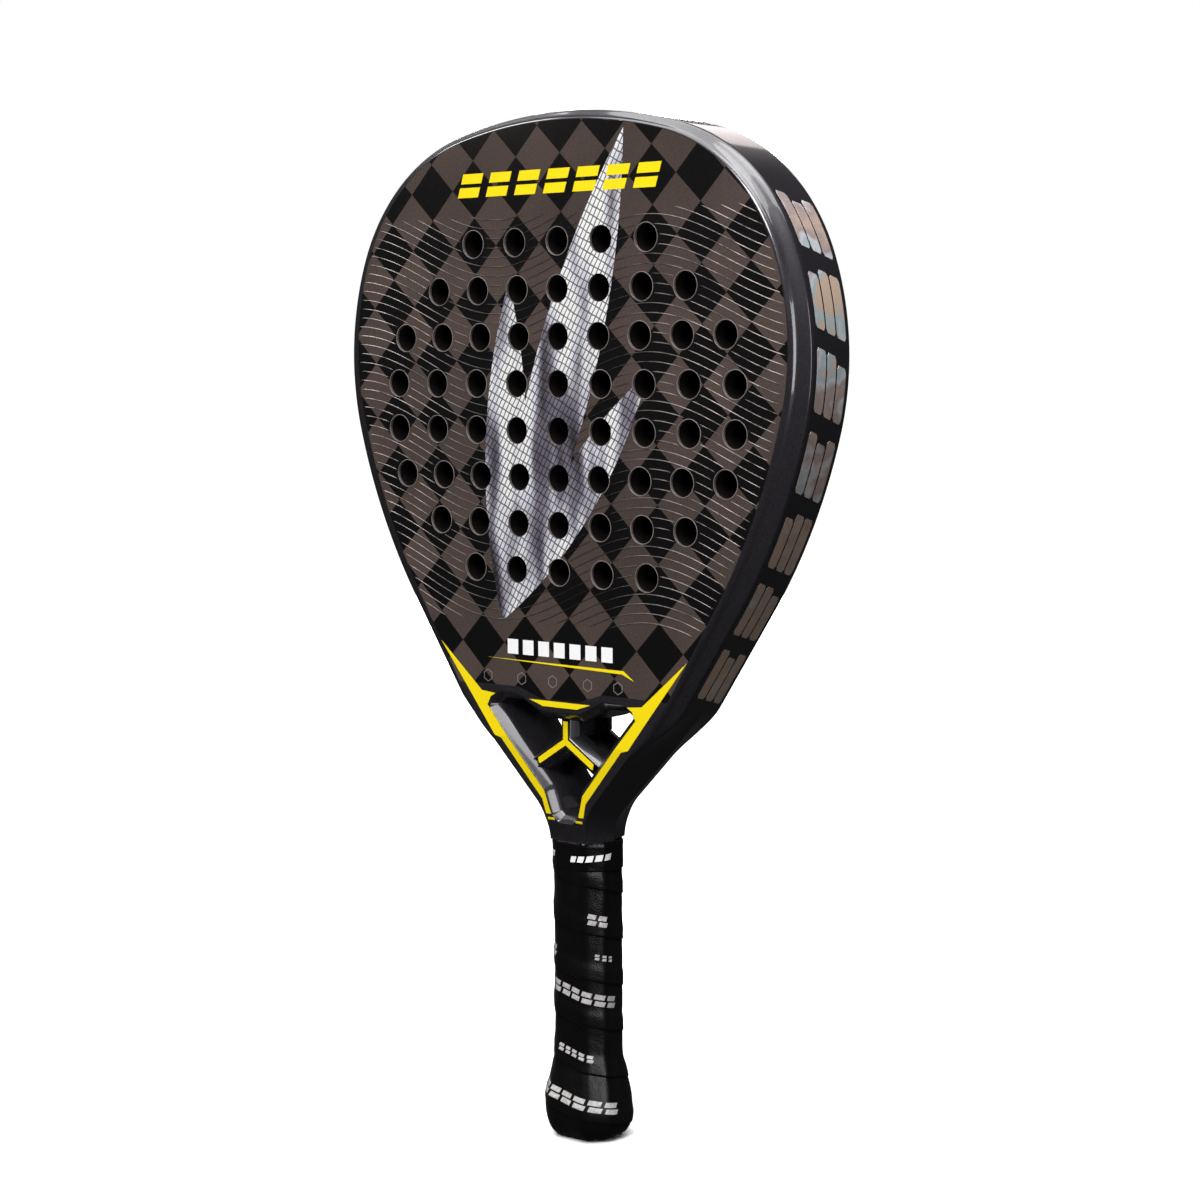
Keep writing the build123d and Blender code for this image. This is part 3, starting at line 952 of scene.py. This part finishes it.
def hologram_material():
    """Holographic foil: rose and grey with painted reflections in cool flashes, and gold grains."""
    s = Shader("holographic_foil")
    sweep = s.noise(s.place(scale=(12, 30, 34)), 1.0, 3.0, 0.6)
    # Painted reflection: the sweeps give the rose, grey and cool flashes.
    tone = s.ramp(sweep, [(0.3, srgb(140, 120, 118)), (0.42, srgb(206, 182, 174)),
                          (0.5, srgb(166, 152, 158)), (0.56, srgb(224, 228, 240)),
                          (0.6, srgb(176, 206, 220)), (0.66, srgb(222, 196, 178))])
    # Towards the bottom the painted sweeps fade into a flat warm tan.
    height = s.node("SeparateXYZ", {0: s.node("TexCoord").outputs["Object"]}).outputs["Z"]
    low = s.node("MapRange", {"Value": height, "From Min": (CORE - 130) * MM,
                              "From Max": (CORE + 20) * MM, "To Min": 0.75, "To Max": 0.0}).outputs[0]
    tone = s.mix(low, tone, srgb(204, 178, 158))
    grain = s.noise(s.place(), 2600.0, 2.0, 0.8)
    s.colour(s.mix(s.ramp(grain, [(0.5, BLACK), (0.72, WHITE)]), tone, srgb(236, 206, 160)))
    s.rough(sweep, 0.22, 0.4)
    s.set(Metallic=0.3, Coat_Weight=0.8, Coat_Roughness=0.05)
    s.bump(grain, 0.00001, 0.3)
    return s.material


def foam_material():
    """Dense black EVA foam: tiny cells on the drilled walls."""
    s = Shader("eva_foam")
    cells = s.node("TexVoronoi", {"Vector": s.place(), "Scale": 1400.0}).outputs["Distance"]
    s.colour(s.mix(cells, srgb(6, 5, 5), srgb(24, 18, 17)))
    s.rough(cells, 0.8, 0.95)
    s.set(Specular_IOR_Level=0.1)
    s.bump(cells, 0.0002, 0.6)
    return s.material


def grip_material(name, base, high, rough=(0.34, 0.52)):
    """Thin polyurethane tape with a fine grain and soft smears."""
    s = Shader(name)
    grain = s.node("TexVoronoi", {"Vector": s.place(), "Scale": 1500.0}).outputs["Distance"]
    smears = s.noise(s.place(scale=(1, 1, 0.6)), 70.0, 4.0)
    s.colour(s.mix(smears, srgb(*base), srgb(*high)))
    s.rough(smears, *rough)
    s.set(Specular_IOR_Level=0.36, Sheen_Weight=0.02)
    s.bump(s.math("ADD", s.math("MULTIPLY", grain, 0.25), smears), 0.00035, 0.6)
    return s.material


def mottled_material(name, low, high, scale, rough, specular=0.4):
    """A moulded, foamed or printed material with a mottled tone."""
    s = Shader(name)
    mottle = s.noise(s.place(), scale, 4.0)
    s.colour(s.mix(mottle, srgb(*low), srgb(*high)))
    s.rough(mottle, *rough)
    s.set(Specular_IOR_Level=specular)
    s.bump(mottle, 0.0001, 0.4)
    return s.material


def rib_material():
    """The raised relief lines: clear lacquer with painted highlights, paler near the racket's sides and in
    patches.
    """
    s = Shader("relief_line_painted_highlight")
    across = s.node("SeparateXYZ", {0: s.node("TexCoord").outputs["Object"]}).outputs["X"]
    aside = s.math("ABSOLUTE", s.math("ADD", across, 0.004))
    edge = s.node("MapRange", {"Value": aside, "From Min": 0.04, "From Max": 0.09,
                               "To Min": 0.0, "To Max": 1.0}).outputs[0]
    patches = s.noise(s.place(), 90.0, 3.0, 0.7)
    # Painted highlight: the lines are pale near the sides where the patches allow, dark in the middle.
    s.colour(s.mix(s.math("MULTIPLY", edge, s.ramp(patches, [(0.35, BLACK), (0.6, WHITE)])),
                   srgb(26, 22, 22), srgb(186, 174, 170)))
    s.rough(patches, 0.25, 0.4)
    s.set(Coat_Weight=0.6, Coat_Roughness=0.12)
    return s.material


def dress(node, material):
    """Give a carried-over CAD node its material."""
    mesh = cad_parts[node].data
    mesh.materials.clear()
    mesh.materials.append(material)


carbon = carbon_material()
lacquer = lacquer_material("frame_lacquer", (10, 10, 12), (84, 80, 88))
brace_lacquer = lacquer_material("brace_lacquer", (12, 12, 14), (72, 70, 76), (0.2, 0.34))
yellow = film_material("yellow_film", (250, 224, 20), (240, 214, 16), coat=0.15)
white = film_material("white_film", (252, 252, 252), (240, 240, 242), coat=0.2)
silver = silver_material()
hologram = hologram_material()
foam = foam_material()
rib = rib_material()
grip = grip_material("overgrip_tape", (2, 2, 2), (9, 8, 8), (0.22, 0.38))
tape = grip_material("finishing_tape", (3, 3, 4), (10, 9, 10), (0.16, 0.3))
# Painted highlight: the pale grey of the holes' lacquered edges stands in for light caught on them.
hole_edge_highlight = mottled_material("drilled_edge_highlight", (74, 66, 66), (150, 140, 138), 240.0, (0.25, 0.4))
faint_print = mottled_material("faint_print", (86, 78, 76), (140, 130, 128), 300.0, (0.4, 0.6))
grip_silver = film_material("grip_silver", (232, 230, 230), (110, 106, 106), (0.25, 0.4))
glass_fibre = mottled_material("glass_fibre", (60, 56, 52), (104, 98, 92), 900.0, (0.4, 0.6))
handle_foam = mottled_material("handle_foam", (150, 140, 110), (190, 178, 140), 700.0, (0.8, 0.95), 0.1)
moulding = mottled_material("black_moulding", (14, 14, 15), (26, 26, 28), 500.0, (0.4, 0.6))


# ---------------------------------------------------------------- the racket

for side in ("front", "rear"):
    dress(f"{side}_carbon_ply", carbon)
    dress(f"{side}_glass_ply", glass_fibre)
    dress(f"{side}_bar_marks", yellow)
    dress(f"{side}_blade_foil", silver)
    dress(f"{side}_model_marks", white)
    dress(f"{side}_throat_decal", yellow)
    dress(f"{side}_brace_trim", yellow)
for side in ("left", "right"):
    dress(f"{side}_side_foil", hologram)
dress("frame_tube", lacquer)
dress("throat_bridge", lacquer)
dress("throat_brace", brace_lacquer)
dress("foam_core", foam)
dress("handle_core", handle_foam)
dress("handle_shell", moulding)
dress("butt_cap", moulding)
dress("base_grip", grip)
dress("overgrip", grip)
dress("finishing_tape", tape)

make_frame()
make_bridge()
make_brace()
make_foil(-1, "left")
make_foil(1, "right")
for side, name in ((-1, "front"), (1, "rear")):
    make_ribs(side, name)
    make_hole_rings(side, name)
    make_badges(side, name)
make_base_grip()
make_overgrip()
make_tape()
make_marks()


# ---------------------------------------------------------------- studio


CAMERA_TURN, CAMERA_RISE, CAMERA_ROLL = radians(39.3833), radians(5.6493), radians(-0.2599)
CAMERA_PLACE = (0.69065, -0.83192, CORE * MM + 0.02153)


def camera():
    """The photograph's viewpoint: 39 degrees round to the right and a little above the middle."""
    data = bpy.data.cameras.new("camera")
    data.sensor_width = 36.0
    data.lens = 73.5
    made = bpy.data.objects.new("camera", data)
    bpy.context.scene.collection.objects.link(made)
    turn, rise, roll = CAMERA_TURN, CAMERA_RISE, CAMERA_ROLL
    back = Vector((sin(turn) * cos(rise), -cos(turn) * cos(rise), sin(rise)))
    right = Vector((cos(turn), sin(turn), 0))
    up = back.cross(right)
    right, up = cos(roll) * right + sin(roll) * up, -sin(roll) * right + cos(roll) * up
    made.matrix_world = Matrix((
        (right.x, up.x, back.x, CAMERA_PLACE[0]),
        (right.y, up.y, back.y, CAMERA_PLACE[1]),
        (right.z, up.z, back.z, CAMERA_PLACE[2]),
        (0, 0, 0, 1),
    ))
    data.clip_start, data.clip_end = 0.05, 50.0
    bpy.context.scene.camera = made


def area_light(name, place, target, size, power, colour=(1, 1, 1)):
    data = bpy.data.lights.new(name, "AREA")
    data.shape = "RECTANGLE"
    data.size, data.size_y = size
    data.energy = power
    data.color = colour
    made = bpy.data.objects.new(name, data)
    made.location = place
    made.visible_camera = False
    made.rotation_euler = (Vector(target) - Vector(place)).to_track_quat("-Z", "Y").to_euler()
    bpy.context.scene.collection.objects.link(made)


def overhead():
    """Even soft light from above that keeps the floor white."""
    data = bpy.data.lights.new("overhead", "SUN")
    data.energy = 3.6
    data.angle = radians(70)
    made = bpy.data.objects.new("overhead", data)
    bpy.context.scene.collection.objects.link(made)


def floor():
    """A plain pale floor, wide enough to reach the horizon."""
    mesh = bpy.data.meshes.new("floor")
    size = 40.0
    corners = [(-size, -size, 0), (size, -size, 0), (size, size, 0), (-size, size, 0)]
    mesh.from_pydata(corners, [], [(0, 1, 2, 3)])
    made = bpy.data.objects.new("floor", mesh)
    made.location.z = -0.0005
    made.visible_glossy = False
    made.visible_diffuse = False
    bpy.context.scene.collection.objects.link(made)
    s = Shader("pale_floor")
    s.colour((0.95, 0.95, 0.95, 1)).set(Roughness=1.0, Specular_IOR_Level=0.0)
    mesh.materials.append(s.material)


def sky():
    """White to the camera, nearly dark to reflections, so that gloss black stays black."""
    world = bpy.data.worlds.new("studio")
    bpy.context.scene.world = world
    world.use_nodes = True
    nodes, links = world.node_tree.nodes, world.node_tree.links
    shown = nodes["Background"]
    shown.inputs["Color"].default_value = (1, 1, 1, 1)
    shown.inputs["Strength"].default_value = 1.0
    dim = nodes.new("ShaderNodeBackground")
    dim.inputs["Color"].default_value = (1, 1, 1, 1)
    dim.inputs["Strength"].default_value = 0.02
    path = nodes.new("ShaderNodeLightPath")
    choose = nodes.new("ShaderNodeMixShader")
    links.new(path.outputs["Is Camera Ray"], choose.inputs[0])
    links.new(dim.outputs[0], choose.inputs[1])
    links.new(shown.outputs[0], choose.inputs[2])
    links.new(choose.outputs[0], nodes["World Output"].inputs["Surface"])


camera()
floor()
sky()
overhead()
bpy.context.scene.view_settings.view_transform = "Standard"
MIDDLE = (0, 0, CORE * MM)
area_light("key", (0.35, -1.9, 1.7), MIDDLE, (0.8, 0.8), 46)
area_light("behind", (-0.85, 1.55, 1.2), MIDDLE, (0.8, 0.5), 2.2, (1.0, 0.9, 0.88))
area_light("right_top", (0.55, -0.5, 1.75), MIDDLE, (0.7, 1.1), 14)
area_light("right_card", (1.5, -0.85, 0.4), MIDDLE, (0.4, 0.8), 7)
area_light("rear_key", (-1.5, 2.0, 0.5), MIDDLE, (0.8, 0.8), 40)
area_light("left_card", (-1.5, -1.35, 0.95), MIDDLE, (0.5, 0.6), 2.4, (1.0, 0.88, 0.8))
area_light("left_top", (-1.3, 0.1, 1.5), MIDDLE, (0.6, 0.6), 8)
